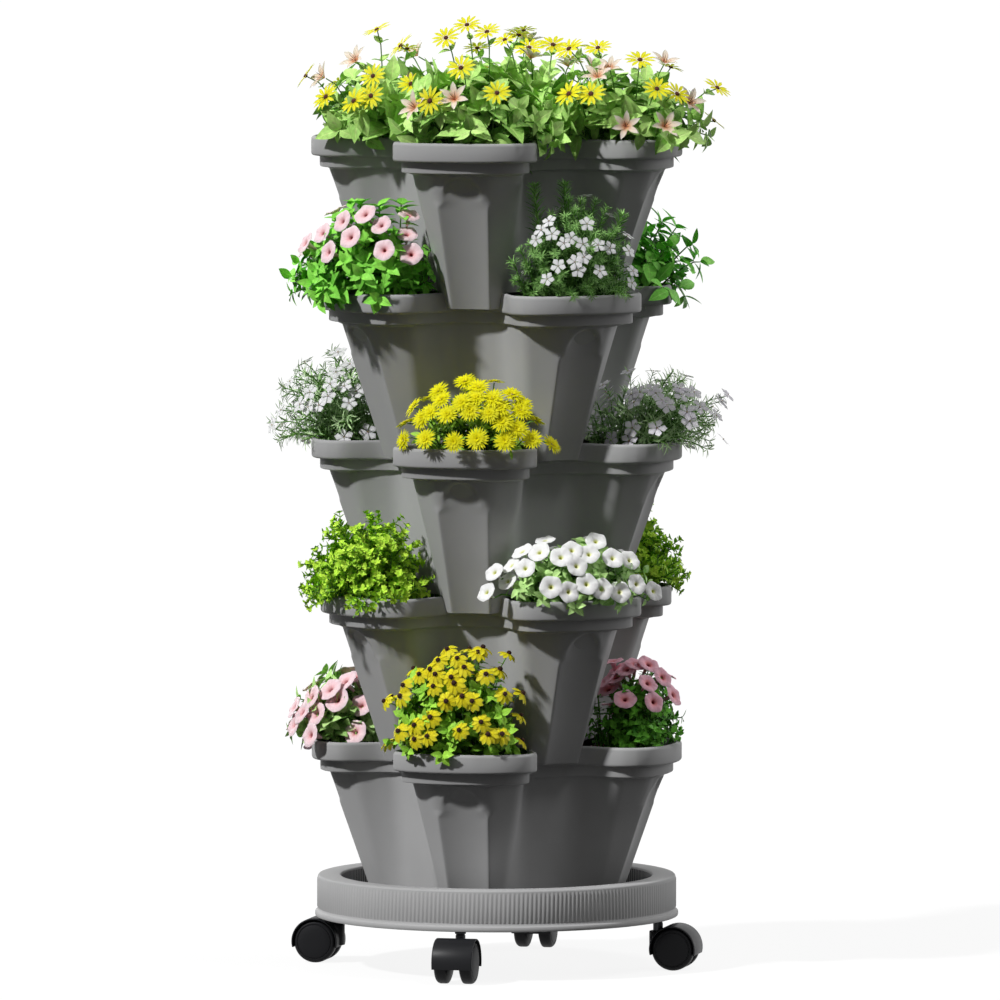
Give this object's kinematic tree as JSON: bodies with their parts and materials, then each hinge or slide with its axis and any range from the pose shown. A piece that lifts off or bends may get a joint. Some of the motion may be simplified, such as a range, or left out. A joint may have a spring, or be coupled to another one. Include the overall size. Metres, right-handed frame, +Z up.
{
  "type": "vertical planter tower",
  "caption": "Stacked multi-pocket planter tower with soil and flowering plants, on a round drip tray with swivel casters.",
  "frame": {"origin": "on the floor, under the middle of the tower", "axes": "+Z up along the tower's axis; -Y towards the front pockets of the odd tiers"},
  "size_m": [0.4446, 0.387, 0.8949],
  "materials": {
    "pot_plastic": "smooth matte grey moulded plastic",
    "tray_plastic": "matte grey moulded plastic, finely ribbed wall",
    "hood_plastic": "satin black moulded plastic",
    "wheel_plastic": "black plastic with a slight sheen",
    "pin_steel": "blackened steel pin",
    "soil": "crumbly dark potting soil",
    "plant_pink_petunia": "soft leaves and pink trumpet flowers",
    "plant_white_petunia": "soft leaves and white trumpet flowers",
    "plant_lilac_phlox": "needle leaves and pale lilac five-petal flowers",
    "plant_yellow_daisy": "dense yellow daisies",
    "plant_brown_eyed_daisy": "golden daisies with dark centres",
    "plant_daisy_and_lily": "broad light green leaves, yellow daisies and pale peach lilies",
    "plant_boxwood": "small lime green leaves",
    "plant_leafy_herb": "pointed mid green leaves"
  },
  "bodies": {
    "tray": {"tray": "tray_plastic"},
    "caster_right": {"caster_right_stem": "pin_steel", "caster_right_hood": "hood_plastic", "caster_right_axle": "pin_steel"},
    "caster_right_wheel_a": {"caster_right_wheel_a": "wheel_plastic"},
    "caster_right_wheel_b": {"caster_right_wheel_b": "wheel_plastic"},
    "caster_back": {"caster_back_stem": "pin_steel", "caster_back_hood": "hood_plastic", "caster_back_axle": "pin_steel"},
    "caster_back_wheel_a": {"caster_back_wheel_a": "wheel_plastic"},
    "caster_back_wheel_b": {"caster_back_wheel_b": "wheel_plastic"},
    "caster_left": {"caster_left_stem": "pin_steel", "caster_left_hood": "hood_plastic", "caster_left_axle": "pin_steel"},
    "caster_left_wheel_a": {"caster_left_wheel_a": "wheel_plastic"},
    "caster_left_wheel_b": {"caster_left_wheel_b": "wheel_plastic"},
    "caster_front": {"caster_front_stem": "pin_steel", "caster_front_hood": "hood_plastic", "caster_front_axle": "pin_steel"},
    "caster_front_wheel_a": {"caster_front_wheel_a": "wheel_plastic"},
    "caster_front_wheel_b": {"caster_front_wheel_b": "wheel_plastic"},
    "tier_1": {"tier_1_pot": "pot_plastic", "tier_1_soil": "soil", "plant_1_right": "plant_pink_petunia", "plant_1_back": "plant_brown_eyed_daisy", "plant_1_left": "plant_pink_petunia", "plant_1_front": "plant_brown_eyed_daisy"},
    "tier_2": {"tier_2_pot": "pot_plastic", "tier_2_soil": "soil", "plant_2_right_back": "plant_boxwood", "plant_2_left_back": "plant_white_petunia", "plant_2_left_front": "plant_boxwood", "plant_2_right_front": "plant_white_petunia"},
    "tier_3": {"tier_3_pot": "pot_plastic", "tier_3_soil": "soil", "plant_3_right": "plant_lilac_phlox", "plant_3_back": "plant_yellow_daisy", "plant_3_left": "plant_lilac_phlox", "plant_3_front": "plant_yellow_daisy"},
    "tier_4": {"tier_4_pot": "pot_plastic", "tier_4_soil": "soil", "plant_4_right_back": "plant_leafy_herb", "plant_4_left_back": "plant_pink_petunia", "plant_4_left_front": "plant_pink_petunia", "plant_4_right_front": "plant_lilac_phlox"},
    "tier_5": {"tier_5_pot": "pot_plastic", "tier_5_soil": "soil", "plant_5_right": "plant_daisy_and_lily", "plant_5_back": "plant_daisy_and_lily", "plant_5_left": "plant_daisy_and_lily", "plant_5_front": "plant_daisy_and_lily"}
  },
  "joints": [
    {"name": "caster_right_swivel", "type": "hinge", "parent": "tray", "child": "caster_right", "pos_m": [0.1545, 0, 0.036], "axis": [0, 0, 1], "continuous": true},
    {"name": "caster_right_wheel_a_roll", "type": "hinge", "parent": "caster_right", "child": "caster_right_wheel_a", "pos_m": [0.1715, 0, 0.02], "axis": [0, 1, 0], "continuous": true},
    {"name": "caster_right_wheel_b_roll", "type": "hinge", "parent": "caster_right", "child": "caster_right_wheel_b", "pos_m": [0.1715, 0, 0.02], "axis": [0, 1, 0], "continuous": true},
    {"name": "caster_back_swivel", "type": "hinge", "parent": "tray", "child": "caster_back", "pos_m": [0, 0.1545, 0.036], "axis": [0, 0, 1], "continuous": true},
    {"name": "caster_back_wheel_a_roll", "type": "hinge", "parent": "caster_back", "child": "caster_back_wheel_a", "pos_m": [0, 0.1715, 0.02], "axis": [-1, 0, 0], "continuous": true},
    {"name": "caster_back_wheel_b_roll", "type": "hinge", "parent": "caster_back", "child": "caster_back_wheel_b", "pos_m": [0, 0.1715, 0.02], "axis": [-1, 0, 0], "continuous": true},
    {"name": "caster_left_swivel", "type": "hinge", "parent": "tray", "child": "caster_left", "pos_m": [-0.1545, 0, 0.036], "axis": [0, 0, 1], "continuous": true},
    {"name": "caster_left_wheel_a_roll", "type": "hinge", "parent": "caster_left", "child": "caster_left_wheel_a", "pos_m": [-0.1715, 0, 0.02], "axis": [0, -1, 0], "continuous": true},
    {"name": "caster_left_wheel_b_roll", "type": "hinge", "parent": "caster_left", "child": "caster_left_wheel_b", "pos_m": [-0.1715, 0, 0.02], "axis": [0, -1, 0], "continuous": true},
    {"name": "caster_front_swivel", "type": "hinge", "parent": "tray", "child": "caster_front", "pos_m": [0, -0.1545, 0.036], "axis": [0, 0, 1], "continuous": true},
    {"name": "caster_front_wheel_a_roll", "type": "hinge", "parent": "caster_front", "child": "caster_front_wheel_a", "pos_m": [0, -0.1715, 0.02], "axis": [1, 0, 0], "continuous": true},
    {"name": "caster_front_wheel_b_roll", "type": "hinge", "parent": "caster_front", "child": "caster_front_wheel_b", "pos_m": [0, -0.1715, 0.02], "axis": [1, 0, 0], "continuous": true},
    {"name": "tier_1_lift", "type": "slide", "parent": "tray", "child": "tier_1", "axis": [0, 0, 1], "range_m": [0, 0.15]},
    {"name": "tier_2_lift", "type": "slide", "parent": "tier_1", "child": "tier_2", "axis": [0, 0, 1], "range_m": [0, 0.15]},
    {"name": "tier_3_lift", "type": "slide", "parent": "tier_2", "child": "tier_3", "axis": [0, 0, 1], "range_m": [0, 0.15]},
    {"name": "tier_4_lift", "type": "slide", "parent": "tier_3", "child": "tier_4", "axis": [0, 0, 1], "range_m": [0, 0.15]},
    {"name": "tier_5_lift", "type": "slide", "parent": "tier_4", "child": "tier_5", "axis": [0, 0, 1], "range_m": [0, 0.15]}
  ]
}
